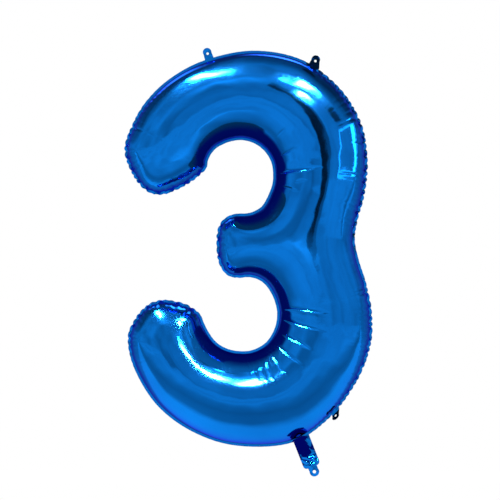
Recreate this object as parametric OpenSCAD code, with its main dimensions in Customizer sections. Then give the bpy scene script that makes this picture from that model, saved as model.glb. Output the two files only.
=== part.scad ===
// Foil number balloon: the digit 3, inflated, with a heat-sealed weld all round, punched hanging
// tabs, a filling tail and a self-sealing film valve. Units are millimetres. +Z is up and the
// front faces -Y. The weld lies in the plane y = 0.

/* [Digit] */
// Height of the inflated digit between its weld lines
digit_h = 936; // [860:4:1000]
// Depth of a stroke as a share of its width
puff = 0.84; // [0.6:0.02:0.95]
// Width of the flat weld band outside the weld line
weld_w = 6; // [4:0.5:8]
// Thickness drawn for each panel; the real film is about 0.05
panel_t = 0.8; // [0.7:0.1:1.2]
// Thickness drawn for each ply of the tabs and the tail
film_t = 0.4; // [0.3:0.1:0.6]

/* [Hanging tabs] */
// Width of a tab
tab_w = 21; // [18:1:26]
// Distance from the weld band to the punched hole
tab_reach = 12; // [11:0.5:16]
// Distance from the punched hole to the tab's round tip
tab_tip = 14; // [13:0.5:18]
// Diameter of the punched hole
tab_hole_d = 6; // [4:0.5:8]

/* [Filling tail] */
// Width of the tail
tail_w = 41; // [36:1:44]
// Length of the tail along its middle
tail_l = 72; // [60:2:90]
// Lean of the tail from straight down, towards +X
tail_lean = 21.5; // [0:0.5:28]
// How far the front ply bows open at the tail's mouth
mouth_rise = 8; // [6:0.5:10]
// Width of the tail's own side welds
side_weld = 3.5; // [3:0.5:5]

/* [Tail end tab] */
// Width of the tab on the tail's end
end_tab_w = 23.5; // [18:0.5:24]
// Distance from the tail's end to the tab's punched hole
end_tab_reach = 11.5; // [11.5:0.5:16]
// Diameter of the punched hole in the end tab
end_hole_d = 8; // [5:0.5:9]

/* [Self-sealing valve] */
// Width of each valve film
valve_w = 28; // [24:1:32]
// Length of each valve film inside the balloon
valve_l = 90; // [60:5:120]
// Thickness of each valve film
valve_t = 0.3; // [0.2:0.1:0.5]

/* [Hidden] */

foil_blue = [0.01, 0.25, 0.72];
valve_clear = [0.75, 0.82, 0.9];

// The digit's weld line, drawn at this height and scaled to digit_h.
drawn_h = 936;
unit = digit_h / drawn_h;

// Outer side of the stroke, from the upper end over the top, past the waist and round the
// bottom to the lower end. Station n of this list faces station n of the inner sides below.
outer_side = unit * [
    [-276, 212], [-296, 270], [-278, 328], [-243, 386], [-186, 439], [-105, 481], [7, 503],
    [119, 483], [206, 421], [261, 336], [277, 245], [270, 166], [253, 103], [246, 54],
    [256, 3], [274, -53], [287, -119], [284, -198], [250, -285], [184, -371], [94, -427.5],
    [-33, -433], [-136, -400], [-218, -339], [-271, -255], [-288, -184], [-273, -140]
];
// Inner side above the middle arm, from the upper end round the upper bay to the arm's root
upper_bay_side = unit * [
    [-112, 226], [-107, 245], [-99, 263], [-85, 279], [-70, 288], [-50, 296], [-20, 300],
    [12, 292], [38, 273], [55, 247], [61, 218], [58, 182], [38, 138]
];
// Inner side below the middle arm, from the arm's root round the lower bay to the lower end
lower_bay_side = unit * [
    [37, -45], [53, -65], [65, -91], [71, -122], [65, -159], [43, -195], [8, -215],
    [-27, -218], [-59, -211], [-85, -195], [-103, -172], [-116, -147], [-126, -125]
];
upper_end = unit * [[-276, 212], [-248, 178], [-215, 168], [-179, 179], [-144, 198], [-112, 226]];
lower_end = unit * [[-273, -140], [-245, -107], [-215, -95], [-183, -97], [-152, -106], [-126, -125]];
arm_top = unit * [[38, 138], [18, 121], [-5, 113], [-31, 112], [-49, 107], [-65, 94]];
arm_bottom = unit * [[37, -45], [17, -33], [-5, -29], [-29, -31], [-50, -26], [-65, -9]];
arm_tip = unit * [[-65, 94], [-74, 72], [-75, 43], [-73, 14], [-65, -9]];

arm_first = len(upper_bay_side) - 1; // outer station that faces the arm's upper edge
arm_last = arm_first + 2;            // outer station that faces the arm's lower edge
last_station = len(outer_side) - 1;
ribs_per_station = 3;
arm_ribs = 12;      // rib intervals across the arm
across = 16;        // intervals along a rib, outer side to inner side
arm_across = 8;     // further intervals from the arm's root to its tip
end_reach = 2;      // stations over which an end's curve fades into straight ribs
stroke_w = 210 * unit;   // width of the main stroke between weld lines
fold_gap = 0.7;     // between the weld band's edge and a tab that folds at it

function lerp(a, b, t) = a + (b - a) * t;
function eased(n, i) = (1 - cos(180 * i / n)) / 2;
function unit_vector(v) = v / norm(v);
function cubic(p0, p1, p2, p3, t) = 0.5 * (2 * p1 + (p2 - p0) * t
    + (2 * p0 - 5 * p1 + 4 * p2 - p3) * t * t + (3 * p1 - p0 - 3 * p2 + p3) * t * t * t);
// A smooth curve through points at position t, counted in points. before and after are the
// points that the curve comes from and goes to.
function curve(before, points, after, t) = let(
    n = len(points) - 1,
    i = min(n - 1, max(0, floor(t))),
    p = function(k) k < 0 ? before : k > n ? after : points[k])
    cubic(p(i - 1), p(i), p(i + 1), p(i + 2), t - i);

function outer_at(t) = curve(upper_end[1], outer_side, lower_end[1], t);
function inner_at(t) = t <= arm_first
    ? curve(upper_end[4], upper_bay_side, arm_top[1], t)
    : t >= arm_last
        ? curve(arm_bottom[1], lower_bay_side, lower_end[4], t - arm_last)
        : lerp(arm_top[0], arm_bottom[0], (t - arm_first) / (arm_last - arm_first));
// How far an end's curve stands off the straight line between its corners, at share s
function end_bulge(end, before, after, s) =
    curve(before, end, after, s * (len(end) - 1)) - lerp(end[0], end[len(end) - 1], s);
function stroke_point(t, s) = let(
    straight = lerp(outer_at(t), inner_at(t), s),
    upper = max(0, 1 - t / end_reach),
    lower = max(0, 1 - (last_station - t) / end_reach))
    straight
    + upper * upper * end_bulge(upper_end, outer_side[1], upper_bay_side[1], s)
    + lower * lower * end_bulge(lower_end, outer_side[last_station - 1],
                                lower_bay_side[len(lower_bay_side) - 2], s);
// A point in the middle arm: u runs from the root to the tip, v from the upper to the lower edge
function arm_point(u, v) = let(
    n = len(arm_top) - 1,
    top = curve(upper_bay_side[arm_first - 1], arm_top, arm_tip[1], u * n),
    bottom = curve(lower_bay_side[1], arm_bottom, arm_tip[3], u * n),
    tip = curve(arm_top[n - 1], arm_tip, arm_bottom[n - 1], v * (len(arm_tip) - 1)),
    root = lerp(arm_top[0], arm_bottom[0], v),
    corners = lerp(lerp(arm_top[0], arm_bottom[0], v), lerp(arm_top[n], arm_bottom[n], v), u))
    lerp(top, bottom, v) + lerp(root, tip, u) - corners;

// Ribs: rows of points across the stroke. Those at the arm go on to the arm's tip.
rib_at = concat(
    [for (i = [0 : arm_first * ribs_per_station - 1]) i / ribs_per_station],
    [for (i = [0 : arm_ribs]) arm_first + (arm_last - arm_first) * eased(arm_ribs, i)],
    [for (i = [arm_last * ribs_per_station + 1 : last_station * ribs_per_station]) i / ribs_per_station]
);
first_arm_rib = arm_first * ribs_per_station;
last_arm_rib = first_arm_rib + arm_ribs;
last_rib = len(rib_at) - 1;
function is_arm_rib(i) = i >= first_arm_rib && i <= last_arm_rib;
ribs = [for (i = [0 : last_rib]) concat(
    [for (j = [0 : across]) stroke_point(rib_at[i], eased(across, j))],
    is_arm_rib(i)
        ? [for (k = [1 : arm_across]) arm_point(sin(90 * k / arm_across), eased(arm_ribs, i - first_arm_rib))]
        : []
)];
function rib_start(i) = i * (across + 1)
    + min(max(i - first_arm_rib, 0), arm_ribs + 1) * arm_across;
grid = [for (rib = ribs) for (p = rib) p];

// The weld line: grid indices round the digit, starting along the upper end
weld_loop = concat(
    [for (j = [0 : across]) j],
    [for (i = [1 : first_arm_rib]) rib_start(i) + across],
    [for (k = [1 : arm_across]) rib_start(first_arm_rib) + across + k],
    [for (i = [first_arm_rib + 1 : last_arm_rib]) rib_start(i) + across + arm_across],
    [for (k = [1 : arm_across]) rib_start(last_arm_rib) + across + arm_across - k],
    [for (i = [last_arm_rib + 1 : last_rib]) rib_start(i) + across],
    [for (j = [1 : across]) rib_start(last_rib) + across - j],
    [for (i = [1 : last_rib - 1]) rib_start(last_rib - i)]
);
weld_count = len(weld_loop);
weld_points = [for (i = weld_loop) grid[i]];
// The loop turns so that the digit lies on its left, so the outside is on its right.
weld_normals = [for (i = [0 : weld_count - 1]) let(
    along = unit_vector(weld_points[(i + 1) % weld_count]
        - weld_points[(i + weld_count - 1) % weld_count]))
    [along[1], -along[0]]];
band_points = [for (i = [0 : weld_count - 1]) weld_points[i] + weld_w * weld_normals[i]];

// Tabs and tail stand on the outer side. A footing is a place just off the weld band's edge.
function outer_tangent(t) = unit_vector(outer_at(t + 0.05) - outer_at(t - 0.05));
function outer_normal(t) = let(a = outer_tangent(t)) [-a[1], a[0]];
function footing(t) = outer_at(t) + (weld_w + fold_gap) * outer_normal(t);
function heading(angle) = [sin(angle), -cos(angle)];
function left_of(way) = [-way[1], way[0]];
// A tab: station on the outer side, lean from straight down, fold towards +Y, width of its foot
upper_left = [5.09, 198, 0, 22];
upper_right = [7.33, 167, 0, 28];
lower_right = [18.78, 15, 52, 26];
function tab_hole(tab) = footing(tab[0]) + tab_reach * heading(tab[1]);
function tab_head(tab) = tab_hole(tab) + (tab_tip - tab_w / 2) * heading(tab[1]);

tail_station = 19.74;
tail_way = heading(tail_lean);
tail_side = left_of(tail_way);     // towards the tail's +X edge
tail_foot = footing(tail_station);
tail_end = tail_foot + tail_l * tail_way;
tail_corner = 9;                   // radius of the corners at the tail's end
end_tab_foot = tail_end + fold_gap * tail_way;
end_hole = end_tab_foot + end_tab_reach * tail_way;

// The origin is the middle of the whole balloon's box.
low_z = end_hole[1] - end_tab_w / 2;
high_z = max(max([for (p = band_points) p[1]]), tab_head(upper_left)[1] + tab_w / 2);
low_x = min([for (p = band_points) p[0]]);
high_x = max([for (p = band_points) p[0]]);
middle = [(low_x + high_x) / 2, (low_z + high_z) / 2];

// Inflated height over a point: the half-circle of a round tube where the stroke is straight,
// blended smoothly at bends and at the middle arm by summing the weld line's pull.
function pull(p, a, b) = let(
    da = a - p,
    db = b - p,
    flat = abs(da[0] * db[1] - da[1] * db[0]),
    angle = atan2(flat, da * db) * PI / 180,
    off = flat / norm(b - a))
    off < 1e-6 ? abs(1 / norm(da) - 1 / norm(db)) : angle / off;
function total(values) = values * [for (v = values) 1];
function rise(p) = puff * sqrt(stroke_w * PI / total([for (i = [0 : weld_count - 1])
    pull(p, weld_points[i], weld_points[(i + 1) % weld_count])]));

// Placing of drawn points: plan() lifts an [x, z] point to a depth y.
function plan(p, y) = [p[0] - middle[0], y, p[1] - middle[1]];

function tidy(points) = [for (p = points) [for (c = p) round(c * 1000) / 1000]];
function halves(q) = [[q[0], q[2], q[3]], [q[0], q[1], q[2]]];

// One panel of foil: the weld band and the dome inside it, as a closed shell one ply thick.
// side is -1 for the front panel and 1 for the back one, its mirror image. It is drawn with its
// dome towards -X and turned into place.
module foil_panel(side) {
    on_weld = [for (i = [0 : len(grid) - 1]) len(search(i, weld_loop)) > 0];
    lining = [for (i = [0 : len(grid) - 1]) plan(grid[i], on_weld[i] ? 0 : -rise(grid[i]))];
    outward = [for (i = [0 : last_rib]) let(n = len(ribs[i])) for (j = [0 : n - 1]) let(
        before = max(i - 1, 0),
        after = min(i + 1, last_rib),
        has_before = j < len(ribs[before]),
        has_after = j < len(ribs[after]),
        along = lining[rib_start(i) + min(j + 1, n - 1)] - lining[rib_start(i) + max(j - 1, 0)],
        past = lining[rib_start(has_after ? after : i) + j] - lining[rib_start(has_before ? before : i) + j])
        unit_vector(cross(along, past))];
    skin = [for (i = [0 : len(grid) - 1]) lining[i] + panel_t * outward[i]];
    weld_skin = [for (i = [0 : weld_count - 1]) plan(weld_points[i] + panel_t * weld_normals[i], -panel_t)];
    band_skin = [for (p = band_points) plan(p, -panel_t)];
    band_lining = [for (p = band_points) plan(p, 0)];
    n = len(grid);
    // Skin points on the weld line are the weld_skin points, so they are looked up by loop place.
    skin_at = [for (i = [0 : n - 1]) let(place = search(i, weld_loop))
        len(place) > 0 ? 2 * n + place[0] : n + i];
    band_skin_at = 2 * n + weld_count;
    band_lining_at = band_skin_at + weld_count;
    // A cell is cut in two from its first corner. At the rounded corners of the ends and the arm
    // that is the corner itself, because the weld line runs almost straight past it.
    cells = [for (i = [0 : last_rib - 1]) let(last_j = min(len(ribs[i]), len(ribs[i + 1])) - 2)
        for (j = [0 : last_j]) let(
            a = rib_start(i) + j,
            b = rib_start(i + 1) + j,
            other_cut = (i == 0 && j == last_j) || (i == last_rib - 1 && j == 0)
                || (i == first_arm_rib && j == last_j))
            other_cut ? [a + 1, b + 1, b, a] : [a, a + 1, b + 1, b]];
    // The list starts on the crown of the stroke and grows from there, each face beside another.
    crown = 9 * ribs_per_station * across + across / 2;
    cell_count = len(cells);
    faces = concat(
        [for (k = [0 : cell_count - 1]) each halves([for (c = cells[(k + crown) % cell_count]) skin_at[c]])],
        [for (i = [0 : weld_count - 1]) let(
            j = (i + 1) % weld_count,
            a = band_skin_at + i,
            b = band_skin_at + j,
            c = band_lining_at + i,
            d = band_lining_at + j)
            each concat(
                halves([a, b, 2 * n + j, 2 * n + i]),
                halves([c, d, b, a]),
                halves([weld_loop[i], weld_loop[j], d, c]))],
        [for (q = cells) each halves([q[2], q[1], q[0], q[3]])]
    );
    points = tidy(concat(lining, skin, weld_skin, band_skin, band_lining));
    rotate([0, 0, -90 * side]) polyhedron(
        points = [for (p = points) [p[1], side * p[0], p[2]]],
        faces = side > 0 ? faces : [for (f = faces) [f[2], f[1], f[0]]]);
}

module front_foil_panel() {
    color(foil_blue) foil_panel(-1);
}

module back_foil_panel() {
    color(foil_blue) foil_panel(1);
}

// Stands a flat drawing in x and z upright, thickness t about the weld plane.
module upright(t) {
    translate([0, t / 2, 0]) rotate([90, 0, 0]) linear_extrude(height = t) children();
}

// A two-ply tab: a foot beside a fold, straight sides and a round head, with a punched hole
module punched_tab(foot, along, foot_w, way, hole, head, width, hole_d) {
    neck = 0.92 * width / 2 * left_of(way);
    at = function(p) p - middle;
    color(foil_blue) difference() {
        union() {
            upright(2 * film_t) translate(at(head)) circle(d = width, $fn = 48);
            upright(2 * film_t) polygon([
                at(foot - foot_w / 2 * along), at(foot + foot_w / 2 * along),
                at(head + neck), at(head - neck)
            ]);
        }
        upright(6 * film_t) translate(at(hole)) circle(d = hole_d, $fn = 48);
    }
}

module hanging_tab(tab) {
    foot = footing(tab[0]);
    tangent = outer_tangent(tab[0]);
    along = tangent * left_of(heading(tab[1])) > 0 ? tangent : -tangent;
    place = plan(foot, 0);
    translate(place) rotate(a = -tab[2], v = [tangent[0], 0, tangent[1]]) translate(-place)
        punched_tab(foot, along, tab[3], heading(tab[1]), tab_hole(tab), tab_head(tab), tab_w, tab_hole_d);
}

module upper_left_tab() hanging_tab(upper_left);
module upper_right_tab() hanging_tab(upper_right);
module lower_right_tab() hanging_tab(lower_right);

module tail_end_tab() punched_tab(end_tab_foot, tail_side, end_tab_w - 1, tail_way, end_hole,
                                  end_hole, end_tab_w, end_hole_d);

// One ply of the tail. The back ply (depth 1) is flat. The front ply (depth -1) lies on it at
// the side welds and at the neck, and bows away from it towards the mouth.
tail_rows = 12;
tail_columns = 14;
corner_rows = 4;
function tail_distance(row) = let(straight = tail_rows - corner_rows) row <= straight
    ? (tail_l - tail_corner) * row / straight
    : tail_l - tail_corner * (1 - sin(90 * (row - straight) / corner_rows));
function tail_point(row, column) = let(
    along = outer_tangent(tail_station),
    distance = tail_distance(row),
    into_corner = max(0, distance - (tail_l - tail_corner)),
    cut = tail_corner - sqrt(max(0, tail_corner * tail_corner - into_corner * into_corner)),
    side = (2 * column / tail_columns - 1) * (tail_w / 2 - cut),
    slant = side * (along * tail_way) / (along * tail_side))
    tail_foot + side * tail_side + lerp(slant, distance, distance / tail_l) * tail_way;
function tail_bow(row, column) = let(
    open_w = tail_w - 2 * side_weld,
    from_weld = column / tail_columns * tail_w - side_weld,
    arch = from_weld > 0 && from_weld < open_w ? sin(180 * from_weld / open_w) : 0,
    share = max(0, tail_distance(row) / tail_l - 0.15) / 0.85)
    mouth_rise * arch * (1 - cos(90 * share));
module tail_film(depth) {
    count = (tail_rows + 1) * (tail_columns + 1);
    points = [for (ply = [0, 1]) for (r = [0 : tail_rows]) for (c = [0 : tail_columns])
        plan(tail_point(r, c), depth * ((depth < 0 ? tail_bow(r, c) : 0) + ply * film_t))];
    at = function(ply, cell) ply * count + cell[0] * (tail_columns + 1) + cell[1];
    rim = concat(
        [for (c = [0 : tail_columns]) [0, c]],
        [for (r = [1 : tail_rows]) [r, tail_columns]],
        [for (c = [1 : tail_columns]) [tail_rows, tail_columns - c]],
        [for (r = [1 : tail_rows - 1]) [tail_rows - r, 0]]);
    quads = concat(
        [for (r = [0 : tail_rows - 1]) for (c = [0 : tail_columns - 1]) each [
            [at(0, [r, c]), at(0, [r + 1, c]), at(0, [r + 1, c + 1]), at(0, [r, c + 1])],
            [at(1, [r, c]), at(1, [r, c + 1]), at(1, [r + 1, c + 1]), at(1, [r + 1, c])]]],
        [for (k = [0 : len(rim) - 1]) let(p = rim[k], q = rim[(k + 1) % len(rim)])
            [at(0, p), at(0, q), at(1, q), at(1, p)]]);
    turned = depth < 0 ? quads : [for (q = quads) [q[3], q[2], q[1], q[0]]];
    polyhedron(points = tidy(points), faces = [for (q = turned) each halves(q)]);
}

module tail_front_film() color(foil_blue) tail_film(-1);
module tail_back_film() color(foil_blue) tail_film(1);

// One film of the valve, inside the balloon from just within the weld line, in line with the
// tail. The two films lie valve_gap apart.
valve_gap = 0.4;
valve_clearance = 3;   // from the weld line to the films' outer ends
valve_foot = outer_at(tail_station) - valve_clearance * outer_normal(tail_station);
module valve_film(depth) {
    corners = [for (side = [-1, 1]) let(
        along = outer_tangent(tail_station) * -1,
        foot = valve_foot + side * valve_w / 2 * along)
        foot - middle];
    inner = [for (side = [1, -1]) valve_foot + side * valve_w / 2 * tail_side - valve_l * tail_way - middle];
    translate([0, depth * (valve_gap + valve_t) / 2, 0]) upright(valve_t) polygon(concat(corners, inner));
}

module valve_front_film() color(valve_clear) valve_film(-1);
module valve_back_film() color(valve_clear) valve_film(1);

front_foil_panel();
back_foil_panel();
tail_front_film();
tail_back_film();
tail_end_tab();
valve_front_film();
valve_back_film();
upper_left_tab();
upper_right_tab();
lower_right_tab();
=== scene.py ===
"""Visual model of the foil number balloon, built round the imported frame.

The balloon's shapes are worked out in millimetres and scaled when their meshes are made. The camera,
the stage and the lights are in metres.
"""
import math

import bpy
import numpy as np
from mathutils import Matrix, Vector


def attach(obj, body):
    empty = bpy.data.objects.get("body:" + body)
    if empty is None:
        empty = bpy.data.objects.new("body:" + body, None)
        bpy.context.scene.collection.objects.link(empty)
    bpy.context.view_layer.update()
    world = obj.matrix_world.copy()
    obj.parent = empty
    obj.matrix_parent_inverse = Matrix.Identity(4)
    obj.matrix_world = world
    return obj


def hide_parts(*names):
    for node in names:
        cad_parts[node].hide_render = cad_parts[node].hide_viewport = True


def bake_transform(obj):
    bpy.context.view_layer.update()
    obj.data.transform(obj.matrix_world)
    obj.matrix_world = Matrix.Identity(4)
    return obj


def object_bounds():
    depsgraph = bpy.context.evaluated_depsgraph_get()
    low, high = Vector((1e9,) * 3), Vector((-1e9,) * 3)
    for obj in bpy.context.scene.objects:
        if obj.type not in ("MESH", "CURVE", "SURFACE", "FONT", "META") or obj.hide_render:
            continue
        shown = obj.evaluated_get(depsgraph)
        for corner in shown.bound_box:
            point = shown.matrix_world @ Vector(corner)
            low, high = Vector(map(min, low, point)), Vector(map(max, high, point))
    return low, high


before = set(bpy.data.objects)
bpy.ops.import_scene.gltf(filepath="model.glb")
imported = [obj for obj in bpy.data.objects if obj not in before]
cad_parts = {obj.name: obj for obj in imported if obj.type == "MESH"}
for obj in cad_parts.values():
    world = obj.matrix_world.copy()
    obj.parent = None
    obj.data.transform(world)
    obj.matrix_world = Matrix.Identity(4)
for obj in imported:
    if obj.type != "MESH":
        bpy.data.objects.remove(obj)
cad_lo, cad_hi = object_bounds()

MM = 0.001
rng = np.random.default_rng(3)

# ---------------------------------------------------------------- camera
camera_data = bpy.data.cameras.new("camera")
camera_data.sensor_width = 36
camera_data.lens = 150
camera = bpy.data.objects.new("camera", camera_data)
camera.location = (0.0038, -5.0, 0.0293)
camera.rotation_euler = (math.radians(90), 0, 0)
bpy.context.scene.collection.objects.link(camera)
bpy.context.scene.camera = camera

# ---------------------------------------------------------------- the digit's outline, as in part.scad
# Weld line of the digit, drawn in millimetres about the middle of the digit. The stroke runs from the
# upper end round to the lower end. Its outer side is one curve, and its inner side is the two bays
# with the root of the middle arm between them. Places along it are stations, counted in points.
OUTER_SIDE = [
    [-276, 212], [-296, 270], [-278, 328], [-243, 386], [-186, 439], [-105, 481], [7, 503],
    [119, 483], [206, 421], [261, 336], [277, 245], [270, 166], [253, 103], [246, 54],
    [256, 3], [274, -53], [287, -119], [284, -198], [250, -285], [184, -371], [94, -427.5],
    [-33, -433], [-136, -400], [-218, -339], [-271, -255], [-288, -184], [-273, -140],
]
UPPER_BAY_SIDE = [
    [-112, 226], [-107, 245], [-99, 263], [-85, 279], [-70, 288], [-50, 296], [-20, 300],
    [12, 292], [38, 273], [55, 247], [61, 218], [58, 182], [38, 138],
]
LOWER_BAY_SIDE = [
    [37, -45], [53, -65], [65, -91], [71, -122], [65, -159], [43, -195], [8, -215],
    [-27, -218], [-59, -211], [-85, -195], [-103, -172], [-116, -147], [-126, -125],
]
UPPER_END = [[-276, 212], [-248, 178], [-215, 168], [-179, 179], [-144, 198], [-112, 226]]
LOWER_END = [[-273, -140], [-245, -107], [-215, -95], [-183, -97], [-152, -106], [-126, -125]]
ARM_TOP = [[38, 138], [18, 121], [-5, 113], [-31, 112], [-49, 107], [-65, 94]]
ARM_BOTTOM = [[37, -45], [17, -33], [-5, -29], [-29, -31], [-50, -26], [-65, -9]]
ARM_TIP = [[-65, 94], [-74, 72], [-75, 43], [-73, 14], [-65, -9]]
MIDDLE = np.array([-3.833, 1.117])   # of the whole balloon's box, in the drawing

STROKE_W = 210       # usual width of the stroke, weld to weld
PUFF = 0.84          # share of a round tube's depth
WELD_W = 6.0         # width of the weld band
ARM_FIRST = 12       # first and last station of the arm's root
ARM_LAST = 14
LAST_STATION = 26
END_REACH = 2        # stations over which a rounded end fades into the stroke

RIBS = 44            # rows of the grid a station
ARM_RIBS = 54        # rows over the arm's root
ACROSS = 58          # steps across the stroke
ARM_ACROSS = 26      # further steps along the arm
BAND_ROWS = 3        # steps across the weld band


def cubic(p0, p1, p2, p3, t):
    """A curve from p1 to p2 that passes smoothly on to its neighbours."""
    return 0.5 * (2 * p1 + (p2 - p0) * t + (2 * p0 - 5 * p1 + 4 * p2 - p3) * t * t
                  + (3 * p1 - p0 - 3 * p2 + p3) * t ** 3)


def curve(before, points, after, t):
    """A smooth curve through points at positions t, counted in points."""
    knots = np.vstack([before, points, after]).astype(float)
    t = np.asarray(t, float)
    i = np.clip(np.floor(t).astype(int), 0, len(points) - 2)
    f = (t - i)[..., None]
    return cubic(knots[i], knots[i + 1], knots[i + 2], knots[i + 3], f)


def lerp(a, b, t):
    return a + (b - a) * t


def outer_at(t):
    """The weld line on the outer side of the stroke."""
    return curve(UPPER_END[1], OUTER_SIDE, LOWER_END[1], t)


def inner_at(t):
    """The weld line in the bays, and a straight line across the root of the arm."""
    t = np.asarray(t, float)
    upper = curve(UPPER_END[4], UPPER_BAY_SIDE, ARM_TOP[1], np.clip(t, 0, ARM_FIRST))
    lower = curve(ARM_BOTTOM[1], LOWER_BAY_SIDE, LOWER_END[4],
                  np.clip(t - ARM_LAST, 0, len(LOWER_BAY_SIDE) - 1))
    share = np.clip((t - ARM_FIRST) / (ARM_LAST - ARM_FIRST), 0, 1)[..., None]
    root = lerp(np.array(ARM_TOP[0], float), np.array(ARM_BOTTOM[0], float), share)
    past_root = np.where((t >= ARM_LAST)[..., None], lower, root)
    return np.where((t <= ARM_FIRST)[..., None], upper, past_root)


def end_bulge(end, before, after, s):
    """How far an end's curve stands off the straight line between its two points."""
    ends = np.array([end[0], end[-1]], float)
    return curve(before, end, after, s * (len(end) - 1)) - lerp(ends[0], ends[1], s[..., None])


def stroke_points(t, s):
    """Points at shares s of the way across the stroke, one row for each station."""
    rows = lerp(outer_at(t)[:, None], inner_at(t)[:, None], s[None, :, None])
    upper = np.clip(1 - t / END_REACH, 0, None)[:, None, None] ** 2
    lower = np.clip(1 - (LAST_STATION - t) / END_REACH, 0, None)[:, None, None] ** 2
    rows = rows + upper * end_bulge(UPPER_END, OUTER_SIDE[1], UPPER_BAY_SIDE[1], s)[None]
    return rows + lower * end_bulge(LOWER_END, OUTER_SIDE[-2], LOWER_BAY_SIDE[-2], s)[None]


def arm_points(u, v):
    """Points of the middle arm: u from the root to the tip, v from the upper to the lower edge."""
    n = len(ARM_TOP) - 1
    top = curve(UPPER_BAY_SIDE[-2], ARM_TOP, ARM_TIP[1], u * n)[None]
    bottom = curve(LOWER_BAY_SIDE[1], ARM_BOTTOM, ARM_TIP[3], u * n)[None]
    tip = curve(ARM_TOP[-2], ARM_TIP, ARM_BOTTOM[-2], v * (len(ARM_TIP) - 1))[:, None]
    t0, t1 = np.array(ARM_TOP[0], float), np.array(ARM_TOP[-1], float)
    b0, b1 = np.array(ARM_BOTTOM[0], float), np.array(ARM_BOTTOM[-1], float)
    vv, uu = v[:, None, None], u[None, :, None]
    root = lerp(t0, b0, vv)
    corners = lerp(lerp(t0, b0, vv), lerp(t1, b1, vv), uu)
    return lerp(top, bottom, vv) + lerp(root, tip, uu) - corners


def eased(n):
    """n + 1 shares from 0 to 1 that lie closer together at both ends."""
    return (1 - np.cos(np.pi * np.arange(n + 1) / n)) / 2


# ---------------------------------------------------------------- one panel's grid
rib_t = np.concatenate([
    np.arange(ARM_FIRST * RIBS) / RIBS,
    ARM_FIRST + (ARM_LAST - ARM_FIRST) * eased(ARM_RIBS),
    np.arange(ARM_LAST * RIBS + 1, LAST_STATION * RIBS + 1) / RIBS,
])
first_arm = ARM_FIRST * RIBS
last_arm = first_arm + ARM_RIBS
columns = eased(ACROSS)
stroke = stroke_points(rib_t, columns)
arm = arm_points(np.sin(np.pi / 2 * np.arange(1, ARM_ACROSS + 1) / ARM_ACROSS), eased(ARM_RIBS))
n_rows = len(rib_t)

stroke_id = np.arange(n_rows * (ACROSS + 1)).reshape(n_rows, ACROSS + 1)
arm_id = stroke_id.size + np.arange(arm.shape[0] * arm.shape[1]).reshape(arm.shape[:2])
plan = np.vstack([stroke.reshape(-1, 2), arm.reshape(-1, 2)])
arm_full = np.hstack([stroke_id[first_arm:last_arm + 1, -1:], arm_id])


def grid_quads(ids):
    """Quads that face -Y in a grid whose rows run outward to inward."""
    a, b = ids[:-1, :-1], ids[1:, :-1]
    c, d = ids[1:, 1:], ids[:-1, 1:]
    return np.stack([a, d, c, b], -1).reshape(-1, 4)


weld = np.concatenate([
    stroke_id[0, :],
    stroke_id[1:first_arm + 1, -1],
    arm_id[0, :],
    arm_id[1:, -1],
    arm_id[-1, -2::-1],
    stroke_id[last_arm:, -1],
    stroke_id[-1, -2::-1],
    stroke_id[-2:0:-1, 0],
])
# station of each weld point on the outer side, or -1 elsewhere
weld_station = np.full(len(weld), -1.0)
weld_station[-(n_rows - 2):] = rib_t[-2:0:-1]
weld_xz = plan[weld]
weld_next = np.roll(weld_xz, -1, 0)
weld_along = weld_next - np.roll(weld_xz, 1, 0)
weld_along /= np.linalg.norm(weld_along, axis=1)[:, None]
weld_out = np.stack([weld_along[:, 1], -weld_along[:, 0]], -1)
weld_step = np.linalg.norm(weld_next - weld_xz, axis=1)
weld_length = weld_step.sum()
weld_s = np.concatenate([[0], np.cumsum(weld_step)[:-1]])

BATCH = 1500         # points worked on at a time
TINY = 1e-9
ON_LINE = 1e-6       # a point closer than this to a segment's line counts as on it


def rise(points):
    """Inflated height over plan points: a round tube along the stroke, blended at bends.

    Each segment of the weld line pulls a point down, more strongly the closer it is.
    """
    height = np.zeros(len(points))
    for lo in range(0, len(points), BATCH):
        p = points[lo:lo + BATCH, None]
        a, b = weld_xz[None] - p, weld_next[None] - p
        flat = np.abs(a[..., 0] * b[..., 1] - a[..., 1] * b[..., 0])
        angle = np.arctan2(flat, (a * b).sum(-1))
        off = flat / weld_step[None]
        straight = np.abs(1 / np.maximum(np.linalg.norm(a, axis=-1), TINY)
                          - 1 / np.maximum(np.linalg.norm(b, axis=-1), TINY))
        pull = np.where(off < ON_LINE, straight, angle / np.maximum(off, ON_LINE))
        height[lo:lo + BATCH] = PUFF * np.sqrt(STROKE_W * np.pi / pull.sum(-1))
    return height


height = rise(plan)
height[weld] = 0


def nearest_weld(points):
    """For each plan point, its distance to the weld line and the place on the line."""
    far = np.zeros(len(points))
    where = np.zeros(len(points), int)
    for lo in range(0, len(points), BATCH):
        d = np.linalg.norm(points[lo:lo + BATCH, None] - weld_xz[None], axis=-1)
        where[lo:lo + BATCH] = d.argmin(1)
        far[lo:lo + BATCH] = d.min(1)
    return far, where


weld_far, weld_near = nearest_weld(plan)

# ---------------------------------------------------------------- puckers along the weld
# Strength of the puckers along the outer side: [station, strength]
OUTER_PUCKER = [
    [0, 1.0], [1.8, 0.9], [2.8, 0.3], [4.0, 0.05], [6.8, 0.05], [7.8, 0.8], [8.6, 1.0], [11.6, 1.0],
    [12.8, 0.5], [13.5, 0.08], [14.4, 0.1], [15.2, 0.8], [18.4, 0.9], [19.2, 0.3],
    [20.0, 0.05], [23.8, 0.05], [24.8, 0.6], [26, 1.0],
]
END_PUCKER = 1.0     # strength round the two ends of the stroke
TIP_PUCKER = 0.9     # round the tip of the arm
SHOULDER = 0.6       # share of that along the outer half of the arm's edges
BAY_PUCKER = 0.06    # in the bays

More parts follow.
